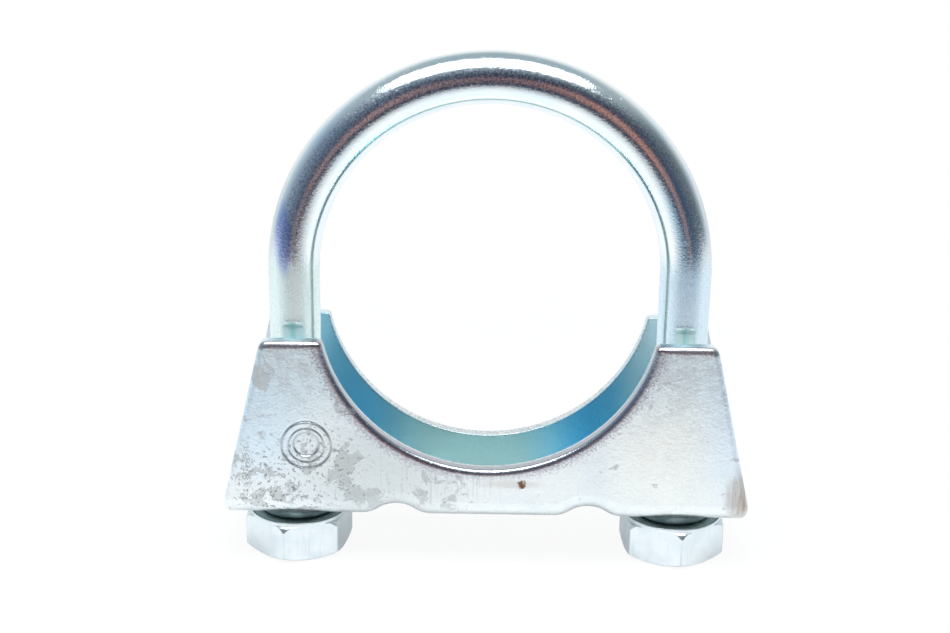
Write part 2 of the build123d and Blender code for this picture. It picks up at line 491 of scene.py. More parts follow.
# %% The web's two skins
HOLE_R = rod_r + 0.4 * MM
SEAT_R = HOLE_R + 2.4 * MM
SEAT_STEEPNESS = 2.1
SEAT_LIMIT = 9.0 * MM
SEAT_LIFT = 3 / MM      # bends the flank away from the web beyond the limit
SEAT_ROUND = 0.35 * MM
SEAT_BLEND = 0.9 * MM
DISH_FLARE = 0.95 * MM
DISH_DEPTH = 2.2 * MM
HOLE_EDGE_R = 0.18 * MM


def seat_height(reach):
    """Height of the pressed seat's face and flank at a reach from the leg's axis."""
    onto = np.clip(reach - SEAT_R + SEAT_ROUND, 0, 2 * SEAT_ROUND)
    flank = SEAT_STEEPNESS * (onto**2 / (4 * SEAT_ROUND) + np.clip(reach - SEAT_R - SEAT_ROUND, 0, None))
    return nut_height + flank + np.clip(reach - SEAT_LIMIT, 0, None) ** 2 * SEAT_LIFT


def web_point(x, y, height):
    """A point at a height above the web's line, square to it."""
    z, slope = web_line(x)
    length = np.sqrt(1 + slope**2)
    return stacked(x - slope / length * height, y, z + height / length)


def outer_web(x, v):
    """The saddle's outside below the joints, with the seats that are pressed down to the nuts."""
    y, height, _ = section(v, half_depth, FOLD_R, 0)
    point = web_point(x, y, height)
    seat = seat_height(np.hypot(np.abs(point[..., 0]) - leg_x, y))
    near = np.clip(1 - np.abs(point[..., 2] - seat) / SEAT_BLEND, 0, 1)
    point[..., 2] = np.minimum(point[..., 2], seat) - near**2 * SEAT_BLEND / 4
    return point


def inner_web(x, v):
    """The channel's floor, with a tight fold on each side."""
    y, height, _ = section(v, half_channel, FOLD_R - SHEET, SHEET)
    return web_point(x, y, height)


# %% Web patches
SEAT_REACH = 10.0 * MM
RING_TURNS = 4 * WEB_STEPS
HOLE_RIM, SEAT_MIDDLE, FLANK_START, DISH_RIM = 0.2 * MM, 0.7 * MM, 0.25 * MM, 0.23 * MM
EDGE_ROWS, FLANK_ROWS, SPREAD_ROWS = 5, 6, 6
MIDDLE_COLUMNS = 110
END_STEP = 0.9 * MM
end_columns = leg_x + SEAT_REACH + END_STEP * np.arange(3)
seat_columns = np.linspace(leg_x - SEAT_REACH, leg_x + SEAT_REACH, WEB_STEPS + 1)
middle_columns = np.linspace(-leg_x + SEAT_REACH, leg_x - SEAT_REACH, MIDDLE_COLUMNS)
web_columns = np.concatenate((
    -end_columns[:0:-1], -seat_columns[::-1], middle_columns[1:-1], seat_columns, end_columns[1:],
))


def seat_border(x):
    """The rim of the square patch round the leg at x, as places and steps, and each one's turn."""
    step = np.linspace(0, 1, WEB_STEPS + 1)[:-1]
    one, zero = np.ones(WEB_STEPS), np.zeros(WEB_STEPS)
    across = np.concatenate((one, 1 - 2 * step, -one, 2 * step - 1, [1.0]))
    rows = WEB_STEPS * np.concatenate((step, one, 1 - step, zero, [0.0]))
    turn = np.linspace(-pi / 4, 7 * pi / 4, RING_TURNS + 1)
    return x + SEAT_REACH * across, rows, turn


def round_seat(skin, form, x, reaches, half, bend, outward):
    """A patch from round the leg hole to the square border: rings first, then a spread of rows."""
    border_x, border_v, turn = seat_border(x)
    reach = np.asarray(reaches)[:, None]
    ring_x = x + reach * np.cos(turn)
    ring_v = step_at(reach * np.sin(turn), half, bend)
    t = np.linspace(0, 1, SPREAD_ROWS + 1)[1:, None]
    spread_x = (1 - t) * ring_x[-1] + t * border_x
    spread_v = (1 - t) * ring_v[-1] + t * border_v
    skin.patch(form, np.concatenate((ring_x, spread_x)), np.concatenate((ring_v, spread_v)), outward)


def build_web(skin):
    """Both skins of the web and folds, and the walls of the two leg holes."""
    v = np.arange(WEB_STEPS + 1.0)
    runs = (middle_columns, end_columns, -end_columns)
    edge = SEAT_R + SEAT_ROUND * np.linspace(-1, 1, EDGE_ROWS)
    flank = np.linspace(edge[-1] + FLANK_START, SEAT_LIMIT, FLANK_ROWS)
    outer_rings = [HOLE_R + HOLE_RIM, HOLE_R + SEAT_MIDDLE, *edge, *flank]
    inner_rings = [HOLE_R + DISH_FLARE + DISH_RIM]
    for form, outward, rings, half, bend in (
        (outer_web, -1, outer_rings, half_depth, FOLD_R),
        (inner_web, 1, inner_rings, half_channel, FOLD_R - SHEET),
    ):
        for columns in runs:
            skin.patch(form, *np.meshgrid(columns, v, indexing="ij"), outward)
        for x in (-leg_x, leg_x):
            round_seat(skin, form, x, rings, half, bend, outward)
    top = underside + SHEET
    hole_wall = (
        (outer_rings[0], nut_height), (HOLE_R, nut_height), (HOLE_R, top - DISH_DEPTH),
        (HOLE_R + DISH_FLARE, top), (inner_rings[0], top),
    )
    for x in (-leg_x, leg_x):
        _, _, turn = seat_border(x)
        nodes = [np.broadcast_to(node, (len(turn), 2)) for node in hole_wall]
        turned(skin, rounded(nodes, HOLE_EDGE_R), x, turn, outward=-1)


# %% The cut edge
ROLL_IN, ROLL_IN_TIP, ROLL_THROUGH = 1.3 * MM, 0.85 * MM, 0.9 * MM
NEAR_TIP, NEAR_FOOT = 2.0 * MM, 5.0 * MM    # how far from these the rolled edge is narrower
BURR_R = 0.2 * MM
FOLD_DRAW = 0.9 * MM    # how far a fold's end is drawn in
DRAWN_FROM = radians(75)
V_STEP = 1e-6           # of a step along the fold, for the end's slopes
ROLL_ROWS, BURR_ROWS = 7, 4
SLOPE_COUNT, ROUND_COUNT, TOP_COUNT, CRADLE_COUNT = 25, 8, 9, 71    # points along the plate's edge


def straight(start, end, out, count):
    """Places on a straight stretch after its start, and the direction out of the sheet."""
    t = np.linspace(0, 1, count + 1)[1:, None]
    return start + t * (end - start), out + 0 * t


def arc(middle, radius, first, last, count, outward=1):
    """Places on a round stretch after its start, and the directions out of the sheet."""
    swing = np.linspace(first, last, count + 1)[1:]
    out = np.stack((np.cos(swing), np.sin(swing)), axis=1)
    return middle + radius * out, outward * out


def plate_edge():
    """The plate's cut outline, from the right joint over both towers to the left joint, as
    (x, z) places, the directions into the sheet, and how wide the rolled edge is."""
    out_slope = np.array([1, end_slope]) / hypot(1, end_slope)
    lean = atan2(out_slope[1], out_slope[0])
    turn_in = np.tan((pi / 2 - lean) / 2) * SHOULDER_R
    top = np.array([shoulder_x, tower_top])
    slope_end = top + turn_in * np.array([out_slope[1], -out_slope[0]])
    shoulder_mid = slope_end - SHOULDER_R * out_slope
    foot = np.array([foot_x - FOLD_R * end_slope, joint_z])
    tip_mid = np.array([0, tower_top - TIP_R])
    tip_mid[0] = sqrt((CRADLE_R + TIP_R) ** 2 - (cradle_z - tip_mid[1]) ** 2)
    tip_end = atan2(tip_mid[1] - cradle_z, tip_mid[0])
    shoulder = arc(shoulder_mid, SHOULDER_R, lean, pi / 2, ROUND_COUNT)
    parts = (
        (foot[None], out_slope[None]),
        straight(foot, slope_end, out_slope, SLOPE_COUNT),
        shoulder,
        straight(shoulder[0][-1], np.array([tip_mid[0], tower_top]), np.array([0, 1]), TOP_COUNT),
        arc(tip_mid, TIP_R, pi / 2, pi + tip_end, ROUND_COUNT),
        arc(np.array([0, cradle_z]), CRADLE_R, tip_end, -pi / 2, CRADLE_COUNT, outward=-1),
    )
    place, out = (np.concatenate([part[k] for part in parts]) for k in (0, 1))
    place, out = (np.concatenate((half, half[-2::-1] * (-1, 1))) for half in (place, out))
    from_tip = np.hypot(np.abs(place[:, 0]) - tip_mid[0], place[:, 1] - tower_top)
    from_foot = place[:, 1] - joint_z
    narrow = np.maximum(np.exp(-((from_tip / NEAR_TIP) ** 2)), np.exp(-((from_foot / NEAR_FOOT) ** 2)))
    return place, -out, ROLL_IN + (ROLL_IN_TIP - ROLL_IN) * narrow


def plate_stations(side):
    """Stations of the cut edge on one plate: outer and inner edge points and their directions."""
    place, into, roll = plate_edge()
    outer = stacked(place[:, 0], side * half_depth, place[:, 1])
    inner = stacked(place[:, 0], side * half_channel, place[:, 1])
    facing = np.broadcast_to((0.0, side, 0.0), outer.shape)
    into = stacked(into[:, 0], 0, into[:, 1])
    return outer, inner, facing, into, into, roll


def end_line(side, v, half, bend, floor):
    """The saddle's end across the web, drawn in a little where the sheet was folded."""
    y, height, swing = section(v, half, bend, floor)
    less = 1 - 0.5 * smooth(1 - np.abs(y) / (half - bend))
    drawn_in = FOLD_DRAW * smooth(swing / DRAWN_FROM) * less
    return stacked(side * (foot_x - height * end_slope - drawn_in), y, underside + height)


def end_stations(side):
    """Stations of the cut edge across the web's end at one side, from front to back."""
    v = np.arange(WEB_STEPS + 1.0)
    edges, intos = [], []
    for half, bend, floor in ((half_depth, FOLD_R, 0), (half_channel, FOLD_R - SHEET, SHEET)):
        _, _, swing = section(v, half, bend, floor)
        facing = stacked(0, np.sign(v - WEB_STEPS / 2) * np.cos(swing), -np.sin(swing))
        after, before = (end_line(side, v + step, half, bend, floor) for step in (V_STEP, -V_STEP))
        run = after - before
        into = unit(np.cross(facing, run))
        intos.append(into * np.sign(-side * into[:, :1]))
        edges.append(end_line(side, v, half, bend, floor))
    return edges[0], edges[1], facing, intos[0], intos[1], np.full(len(v), ROLL_IN_TIP)


def bent(t, start, corner, end):
    """A round bend from start to end that a sharp corner between them is cut down to."""
    weights = (1 - t) ** 2, 2 * t * (1 - t) * cos(pi / 4), t**2
    return (weights[0] * start + weights[1] * corner + weights[2] * end) / sum(weights)


def edge_rows(stations):
    """Rows of points and normals over the cut edge: the rolled edge, the cut face and the burr."""
    outer, inner, facing, into_outer, into_inner, roll = stations
    through = unit(inner - outer)
    points, normals = [], []
    for corner, start, end, into, count in (
        (outer, outer + into_outer * roll[:, None], outer + through * ROLL_THROUGH, into_outer, ROLL_ROWS),
        (inner, inner - through * BURR_R, inner + into_inner * BURR_R, into_inner, BURR_ROWS),
    ):
        along = np.cross(facing, into)
        for t in np.linspace(0, 1, count):
            slope = bent(t + SLOPE_STEP, start, corner, end) - bent(t - SLOPE_STEP, start, corner, end)
            points.append(bent(t, start, corner, end))
            normals.append(unit(np.cross(along, slope)))
    return np.stack(points), np.stack(normals)


# %% Flat faces
RING_PLACE = (-34.7 * MM, underside + 15.5 * MM)
RING_REACH, RING_ROWS, RING_COUNT = 5.5 * MM, 55, 72
RINGS = ((4.75 * MM, 0.20 * MM, 0.20 * MM), (3.45 * MM, 0.14 * MM, 0.18 * MM))    # reach, depth, width
DISC_REACH, DISC_DEPTH, DISC_WALL = 2.6 * MM, 0.26 * MM, 0.35 * MM
FILL_SPACING = 3.0 * MM
FILL_PRECISION = 1e-7
SLIVER = 1e-12          # square metres; a smaller triangle is dropped


def within(place, outline):
    """Which places lie inside a closed outline."""
    x, z = place[:, :1], place[:, 1:]
    x0, z0 = outline.T
    x1, z1 = np.roll(outline, -1, axis=0).T
    level = np.where(z1 == z0, 1.0, z1 - z0)
    crossing = ((z0 > z) != (z1 > z)) & (x < (x1 - x0) * (z - z0) / level + x0)
    return crossing.sum(axis=1) % 2 == 1


def fill_flat(skin, outline, holes, y, facing):
    """Triangles that fill an outline on the plane at y, round its holes."""
    grid = np.stack(np.meshgrid(
        np.arange(-foot_x, foot_x, FILL_SPACING), np.arange(underside, tower_top, FILL_SPACING),
    ), axis=-1).reshape(-1, 2)
    gap = np.linalg.norm(grid[:, None] - np.concatenate((outline, *holes))[None], axis=-1).min(axis=1)
    grid = grid[within(grid, outline) & (gap > 0.5 * FILL_SPACING)]
    loops = [outline, *holes]
    start = np.cumsum([0] + [len(loop) for loop in loops])
    edges = [(a + k, a + (k + 1) % len(loop)) for a, loop in zip(start, loops) for k in range(len(loop))]
    place = np.concatenate(loops + [grid])
    made = delaunay_2d_cdt([Vector(p) for p in place / MM], edges, [], 0, FILL_PRECISION)
    _, _, faces, origins, _, _ = made
    corners = place[[origin[0] for origin in origins]][np.array(faces)]
    middle = corners.mean(axis=1)
    area = np.abs(np.cross(corners[:, 1] - corners[:, 0], corners[:, 2] - corners[:, 0])) / 2
    keep = within(middle, outline) & (area > SLIVER)
    for loop in holes:
        keep &= ~within(middle, loop)
    corners = corners[keep]
    skin.triangles(stacked(corners[..., 0], y, corners[..., 1]), (0, facing, 0))


def ring_mark(reach):
    """Depth of the pressed rings at a reach from their middle."""
    lines = (depth * np.exp(-(((reach - middle) / width) ** 2)) for middle, depth, width in RINGS)
    return sum(lines) + DISC_DEPTH * smooth((DISC_REACH - reach) / DISC_WALL)


def ring_form(reach, turn):
    """The pressed rings on the front plate."""
    x, z = RING_PLACE
    return stacked(x + reach * np.cos(turn), ring_mark(reach) - half_depth, z + reach * np.sin(turn))


# %% Saddle mesh
def build_saddle():
    """The whole saddle: web, cut edge, four flat faces and the pressed rings."""
    skin = Skin()
    build_web(skin)
    joint = web_point(web_columns, 0, FOLD_R)[:, ::2]
    turn = np.linspace(0, 2 * pi, RING_COUNT + 1)
    ring = RING_PLACE + RING_REACH * np.stack((np.cos(turn), np.sin(turn)), axis=1)
    for side in (-1, 1):
        points, normals = edge_rows(plate_stations(side))
        skin.sheet(points, normals)
        outer = np.concatenate((points[0][:, ::2], joint))
        inner = np.concatenate((points[-1][:, ::2], joint))
        fill_flat(skin, outer, [ring[:-1]] if side < 0 else [], side * half_depth, side)
        fill_flat(skin, inner, [], side * half_channel, -side)
        points, normals = edge_rows(end_stations(side))
        skin.sheet(points, normals)
        last = side * end_columns[-1]
        v = np.arange(WEB_STEPS + 1.0)
        for form, row, outward in ((outer_web, 0, -1), (inner_web, -1, 1)):
            column = form(np.full(len(v), last), v)
            skin.sheet(np.stack((column, points[row])), np.stack((normals[row], normals[row])))
    reach = np.linspace(0, RING_REACH, RING_ROWS + 1)
    skin.patch(ring_form, *np.meshgrid(reach, turn, indexing="ij"), outward=1)
    return skin.piece("saddle_plated", "saddle", "saddle", "saddle")


saddle = build_saddle()

# %% [markdown]
# ## Shader maths
# A procedural finish is a chain of maths on places and noise. Wired by hand it hides its own
# meaning, so a small class wraps one socket and lets Python's operators add the Math nodes. Every
# other node comes from one function, which sets the node up first and then fills its sockets.

# %% Wires and nodes
class Wire:
    """One output socket. Python's operators on it add Math nodes to its tree."""

    def __init__(self, socket):
        self.socket = socket

    def math(self, operation, *values):
        """A Math node on these values, each a wire or a number."""
        return add(self.socket.id_data, "ShaderNodeMath", {"operation": operation}, dict(enumerate(values)))

    def __add__(self, other):
        return self.math("ADD", self, other)

    def __sub__(self, other):
        return self.math("SUBTRACT", self, other)

    def __rsub__(self, other):
        return self.math("SUBTRACT", other, self)

    def __mul__(self, other):
        return self.math("MULTIPLY", self, other)

    def __truediv__(self, other):
        return self.math("DIVIDE", self, other)

    def __pow__(self, other):
        return self.math("POWER", self, other)

    def __neg__(self):
        return self.math("MULTIPLY", self, -1.0)

    def __abs__(self):
        return self.math("ABSOLUTE", self)

    __radd__, __rmul__ = __add__, __mul__


def add(tree, kind, settings, inputs, out=0):
    """A new node: its settings, then its sockets' values or wires. Gives the wire of one output."""
    node = tree.nodes.new(kind)
    for name, value in settings.items():
        setattr(node, name, value)
    for name, value in inputs.items():
        if isinstance(value, Wire):
            tree.links.new(value.socket, node.inputs[name])
        else:
            node.inputs[name].default_value = value
    return Wire(node.outputs[out])


def rise(value, low, high):
    """0 below low, 1 above high and a smooth rise between them; it falls where low is above high."""
    sockets = {"Value": value, "From Min": low, "From Max": high}
    return add(value.socket.id_data, "ShaderNodeMapRange", {"interpolation_type": "SMOOTHSTEP"}, sockets)


def mix(factor, first, second):
    """A colour between two colours. Mix node sockets 6 and 7 are its colours A and B."""
    colours = {6: first, 7: second}
    sockets = {0: factor} | {k: c if isinstance(c, Wire) else (*c, 1.0) for k, c in colours.items()}
    tree = next(w.socket.id_data for w in (factor, first, second) if isinstance(w, Wire))
    return add(tree, "ShaderNodeMix", {"data_type": "RGBA"}, sockets, 2)


def axes(vector):
    """The three numbers of a vector, as wires."""
    return [add(vector.socket.id_data, "ShaderNodeSeparateXYZ", {}, {0: vector}, k) for k in range(3)]


def scaled(vector, factors):
    """A vector with each number multiplied."""
    tree = vector.socket.id_data
    return add(tree, "ShaderNodeVectorMath", {"operation": "MULTIPLY"}, {0: vector, 1: factors})


def noise(place, size, detail=2.0, roughness=0.5, distortion=0.0):
    """Noise from 0 to 1 whose blotches are about size across, in the units of place."""
    sockets = {"Vector": place, "Scale": 1 / size, "Detail": detail, "Roughness": roughness}
    return add(place.socket.id_data, "ShaderNodeTexNoise", {}, sockets | {"Distortion": distortion})


def spot(x, z, middle, radii, soft=0.3):
    """A mask for an ellipse seen from the front: 1 inside, 0 outside, with a soft border."""
    across, along = (x - middle[0]) / radii[0], (z - middle[1]) / radii[1]
    return rise((across * across + along * along) ** 0.5, 1 + soft, 1 - soft)


# %% [markdown]
# ## The room
# Metal shows the room more than itself. The photograph was made in a small white tent: a bright
# back wall, greyer side walls, a long lamp overhead and a dark opening in front, where the white
# sheet on the table ends. Two warm cards low in that opening show as brown lines on the bow. Real
# walls would cast light and hide the clamp from other views. So the tent is a world colour that
# depends only on the direction, the lamp is an area light, and the sheet is a real plane. Camera
# rays see plain white instead.

# %% World
LEFT_WALL = ((0.0, (0.075, 0.08, 0.115)), (0.17, (0.15, 0.20, 0.28)), (0.42, (0.27, 0.34, 0.44)),
             (0.65, (0.44, 0.56, 0.66)), (0.86, (0.78, 0.87, 0.92)), (1.0, (1.0, 1.0, 1.0)))
RIGHT_WALL = ((0.0, (0.045, 0.05, 0.08)), (0.20, (0.105, 0.13, 0.17)), (0.50, (0.18, 0.22, 0.24)),
              (0.65, (0.42, 0.48, 0.52)), (0.80, (0.78, 0.84, 0.87)), (1.0, (1.0, 1.0, 1.0)))
WALL_BLEND = 0.25
CEILING, CEILING_FROM, CEILING_WHOLE = (0.38, 0.46, 0.50), 0.42, 0.85
# Each card: azimuth, elevation and half its width and height in degrees, and its colour
WARM_CARDS = ((-10.5, -2.0, 8.0, 14.0, (0.40, 0.26, 0.25)), (14.5, -2.0, 10.0, 15.0, (0.52, 0.27, 0.23)))
CARD_OUTER, CARD_INNER = 1.15, 0.7


def wall(depth, stops):
    """A wall's colour from its front end to its back end, as a ramp."""
    colour = add(depth.socket.id_data, "ShaderNodeValToRGB", {}, {0: depth})
    ramp = colour.socket.node.color_ramp
    for place, _ in stops[1:-1]:
        ramp.elements.new(place)
    for element, (place, shade) in zip(ramp.elements, stops):
        element.position, element.color = place, (*shade, 1.0)
    return colour


def warm_card(azimuth, elevation, card):
    """A mask for a warm card, an ellipse given in degrees of direction."""
    across, height, half_width, half_height, _ = card
    x = (azimuth - radians(across)) / radians(half_width)
    z = (elevation - radians(height)) / radians(half_height)
    return rise((x * x + z * z) ** 0.5, CARD_OUTER, CARD_INNER)


def build_world():
    """The tent by direction, and plain white for the camera."""
    world = bpy.data.worlds.new("tent")
    bpy.context.scene.world = world
    world.use_nodes = True
    tree = world.node_tree
    background = tree.nodes["Background"]
    x, y, z = axes(add(tree, "ShaderNodeTexCoord", {}, {}, "Generated"))
    depth = (y + 1.0) * 0.5
    colour = mix(rise(x, -WALL_BLEND, WALL_BLEND), wall(depth, LEFT_WALL), wall(depth, RIGHT_WALL))
    colour = mix(rise(z, CEILING_FROM, CEILING_WHOLE), colour, CEILING)
    azimuth, elevation = x.math("ARCTAN2", x, -y), z.math("ARCSINE", z)
    for card in WARM_CARDS:
        colour = mix(warm_card(azimuth, elevation, card), colour, card[-1])
    seen = add(tree, "ShaderNodeLightPath", {}, {}, "Is Camera Ray")
    tree.links.new(mix(seen, colour, (1.0, 1.0, 1.0)).socket, background.inputs["Color"])
    print("world:", len(tree.nodes), "nodes")


build_world()

# %% Lamp
LAMP_PLACE = (-0.025, -0.185, 0.65)
LAMP_SIZE = (0.71, 0.37)
LAMP_POWER = 5.2
lamp = bpy.data.objects.new("lamp_overhead", bpy.data.lights.new("lamp_overhead", "AREA"))
bpy.context.scene.collection.objects.link(lamp)
lamp.location = LAMP_PLACE
lamp.data.shape = "RECTANGLE"
lamp.data.size, lamp.data.size_y = LAMP_SIZE
lamp.data.energy = LAMP_POWER
lamp.visible_camera = False
print("lamp radiance", round(LAMP_POWER / (LAMP_SIZE[0] * LAMP_SIZE[1] * pi), 2))

# %% [markdown]
# ## The sheet on the table
# The clamp stands on white paper that ends in front, below the lens. That edge matters, because
# the bow shows the paper below its dark band. A diffuse white alone comes out light grey. So plain
# white is mixed in: nearly all for the camera, which leaves a soft shadow under the clamp, and a
# smaller share for the metal. The metal sees the paper's front end dimmed, as if it curled down.

# %% Floor
PAPER_HALF_WIDTH, PAPER_FRONT, PAPER_BACK = 0.60, -0.178, 1.0
PAPER_WHITE, PAPER_ROUGHNESS = 0.88, 0.9
PAPER_LIFT = 0.25                       # share of plain white that the metal sees
EDGE_DIM = 0.5                          # how much darker the metal sees the front edge
EDGE_FROM, EDGE_WHOLE = -0.045, -0.17   # where that dimming starts and is complete
SHADE = 0.09                            # share of the real shadow that the camera sees
SHADE_NEAR, SHADE_FAR = 0.10, 0.22      # distances from the clamp over which it is lost


def build_floor():
    """The paper: a plane with its own material, as part of the stage."""
    ends = (-PAPER_HALF_WIDTH, PAPER_HALF_WIDTH)
    corners = [(x, y, 0.0) for y in (PAPER_FRONT, PAPER_BACK) for x in ends]
    mesh = bpy.data.meshes.new("paper")
    mesh.from_pydata(corners, [], [(0, 1, 3, 2)])
    paper = bpy.data.objects.new("paper", mesh)
    bpy.context.scene.collection.objects.link(paper)
    material = bpy.data.materials.new("paper_white")
    material.use_nodes = True
    tree = material.node_tree
    shader = tree.nodes["Principled BSDF"]
    shader.inputs["Base Color"].default_value = (PAPER_WHITE, PAPER_WHITE, PAPER_WHITE, 1)
    shader.inputs["Roughness"].default_value = PAPER_ROUGHNESS
    shader.inputs["Specular IOR Level"].default_value = 0.0
    camera_ray = add(tree, "ShaderNodeLightPath", {}, {}, "Is Camera Ray")
    glossy_ray = add(tree, "ShaderNodeLightPath", {}, {}, "Is Glossy Ray")
    x, y, _ = axes(add(tree, "ShaderNodeNewGeometry", {}, {}, "Position"))
    far = rise((x * x + y * y) ** 0.5, SHADE_NEAR, SHADE_FAR)
    white = add(tree, "ShaderNodeEmission", {}, {"Color": (1, 1, 1, 1), "Strength": 1.0})
    unlit = add(tree, "ShaderNodeEmission", {}, {"Color": (0, 0, 0, 1), "Strength": 1.0})
    seen = Wire(shader.outputs[0])
    for share, light in (
        (glossy_ray * PAPER_LIFT, white),
        (glossy_ray * rise(y, EDGE_FROM, EDGE_WHOLE) * EDGE_DIM, unlit),
        (camera_ray * (1 - SHADE + SHADE * far), white),
    ):
        seen = add(tree, "ShaderNodeMixShader", {}, {0: share, 1: seen, 2: light})
    tree.links.new(seen.socket, tree.nodes["Material Output"].inputs["Surface"])
    paper.data.materials.append(material)
    return paper


paper = build_floor()

# %% [markdown]
# ## Bright zinc
# Zinc plate is a thin pale metal with a blue passivation on it. Steel shows through at one spot
# only, but the plate is never even: it has a fine grain, dull blotches where it dried, and a tint
# that drifts. So each metal starts from one place in millimetres, and every mark is a mask made
# from that place. A mask's pair of numbers says where it starts and where it is whole. The relief
# is given in metres, so that its slopes are as small as real ones.

# %% Metal
def metal(name):
    """A new metal: its material, its shader, and the place on it in millimetres."""
    material = bpy.data.materials.new(name)
    material.use_nodes = True
    tree = material.node_tree
    shader = tree.nodes["Principled BSDF"]
    shader.inputs["Metallic"].default_value = 1.0
    place = add(tree, "ShaderNodeTexCoord", {}, {}, "Object")
    return material, shader, scaled(place, (1 / MM, 1 / MM, 1 / MM))


def join(shader, **inputs):
    """Wires into a shader's sockets, with the relief turned into a bent normal."""
    tree = shader.id_data
    relief = inputs.pop("relief")
    inputs["Normal"] = add(tree, "ShaderNodeBump", {}, {"Strength": 1.0, "Distance": 1.0, "Height": relief})
    for name, wire in inputs.items():
        tree.links.new(wire.socket, shader.inputs[name.replace("_", " ")])


# %% [markdown]
# ## The rod's finish
# The rod was drawn through a die before plating, so it is almost a mirror. Its faults show where
# a dark reflection meets a bright one: that border is speckled, and small scuffs break it. The dark
# specks along the front of the bow are partly wear and partly a painted dark reflection. Lines
# from the die run along the rod, so their noise needs a place that follows the bend. The straight
# legs are duller than the bow.

# %% Places on the rod
LINE_STRETCH = 0.10


def rod_places(x, y, z):
    """Height over the bow's middle, distance outward from the rod's axis line, and a place that
    is squeezed along the rod, so that a noise on it comes out as long lines."""
    over = z - bow_z / MM
    up, down = over.math("MAXIMUM", over, 0.0), over.math("MINIMUM", over, 0.0)
    reach = (x * x + up * up) ** 0.5
    along = x.math("ARCTAN2", x, up) * (leg_x / MM) - x.math("SIGN", x) * down
    tree = x.socket.id_data
    drawn = add(tree, "ShaderNodeCombineXYZ", {}, {0: reach, 1: y, 2: along * LINE_STRETCH})
    return over, reach - leg_x / MM, drawn


# %% [markdown]
# ## What the rod shows of the world outside the tent
# The photograph has a thin dark line along the bow's inner side, a blue patch at its left foot and
# a cooler brown at its right foot. What stood there isn't known, and more cards in the world
# would change every other piece too. So these are painted reflections in the rod's own colour. The
# line is a reflection near the rod's border, and a Layer Weight node finds it from any side.

# %% Painted reflections on the rod
DARK_LINE_REFLECTION, BLUE_PATCH_REFLECTION, COOL_FOOT_REFLECTION = (0.34, 0.42, 0.38), (0.40, 0.50, 0.95), (0.62, 0.84, 1.0)
LINE_LEGS, LINE_CROWN = 0.30, 0.15      # the line's Facing at the legs, and what the crown adds
LINE_HEIGHTS, LINE_FADE, LINE_SHARE = (0.0, 40.0), (0.06, 0.03), 0.85
BLUE_PLACE, BLUE_RADII, BLUE_FRONT, BLUE_SHARE = (-38.9, 64.5), (1.5, 6.5), (-2.0, -3.0), 0.7
ROD_FRONT = (-2.8, -3.6)
COOL_RIGHT, COOL_OVER = (29.0, 35.0), (-14.0, 6.0)
COOL_INSIDE, COOL_OUTSIDE = (-2.4, -1.0), (2.8, 1.2)


def tinted(colour, x, y, z, over, outward, inner):
    """The rod's colour with its painted reflections: the dark line, the blue patch and the cool foot."""
    facing = add(x.socket.id_data, "ShaderNodeLayerWeight", {}, {"Blend": 0.5}, "Facing")
    line = abs(facing - (rise(over, *LINE_HEIGHTS) * LINE_CROWN + LINE_LEGS))
    # painted reflection: a dark line near the rod's inner border
    colour = mix(rise(line, *LINE_FADE) * inner * LINE_SHARE, colour, DARK_LINE_REFLECTION)
    # painted reflection: a blue patch at the left foot
    bluish = spot(x, z, BLUE_PLACE, BLUE_RADII, 0.4) * rise(y, *BLUE_FRONT)
    colour = mix(bluish * BLUE_SHARE, colour, BLUE_PATCH_REFLECTION)
    # painted reflection: a cool tint on the right foot
    middle = rise(outward, *COOL_INSIDE) * rise(outward, *COOL_OUTSIDE) * rise(y, *ROD_FRONT)
    return mix(rise(x, *COOL_RIGHT) * rise(over, *COOL_OVER) * middle, colour, COOL_FOOT_REFLECTION)


# %% [markdown]
# ## The two flats
# The flats above the saddle were pressed by a tool after drawing. They are duller and greener than
# the rod, and darkest down their middle. Their mask comes from the same sizes as their shape.

# %% Flats
FLAT_HALF, FLAT_FADE = 2.1, 0.3
FLAT_FRONT, FLAT_LIP = (-4.2, -4.4), (0.4, 0.2)     # toward the front, and over the flat's top
FLAT_SIDE, FLAT_MIDDLE = (0.82, 1.0, 0.97), (0.42, 0.84, 0.72)


def flat_mask(x, y, z):
    """A mask for the flats, and the distance from their middle."""
    top, low = MARK_TOP / MM, (MARK_TOP - MARK_LENGTH) / MM
    across = abs(abs(x) - leg_x / MM)
    mark = rise(across, FLAT_HALF, FLAT_HALF - FLAT_FADE) * rise(y, *FLAT_FRONT)
    mark = mark * rise(z, low, low + FLAT_FADE)
    return mark * rise(z, top + FLAT_LIP[0], top + FLAT_LIP[1]), across


# %% Rod finish
PALE_ZINC, CLEAR_ZINC, DARK_SPECK_AND_REFLECTION = (0.80, 0.88, 0.92), (0.88, 0.92, 0.92), (0.36, 0.34, 0.40)
LEFT_LEG, RIGHT_LEG = (0.86, 0.98, 0.95), (0.78, 0.92, 1.0)
LEGS_OVER, LEGS_RAGGED = (8.6, 3.0), 6.0    # the duller legs' upper border, and what grain adds to it
INNER_SIDE = (-2.5, -4.0)
BELT_INSIDE, BELT_OUTSIDE, BELT_OVER = (-1.6, -0.4), (3.8, 2.6), (1.0, 5.0)
GRAIN_RELIEF, LINE_RELIEF, DENT_RELIEF = 0.034 * MM, 0.006 * MM, 0.012 * MM


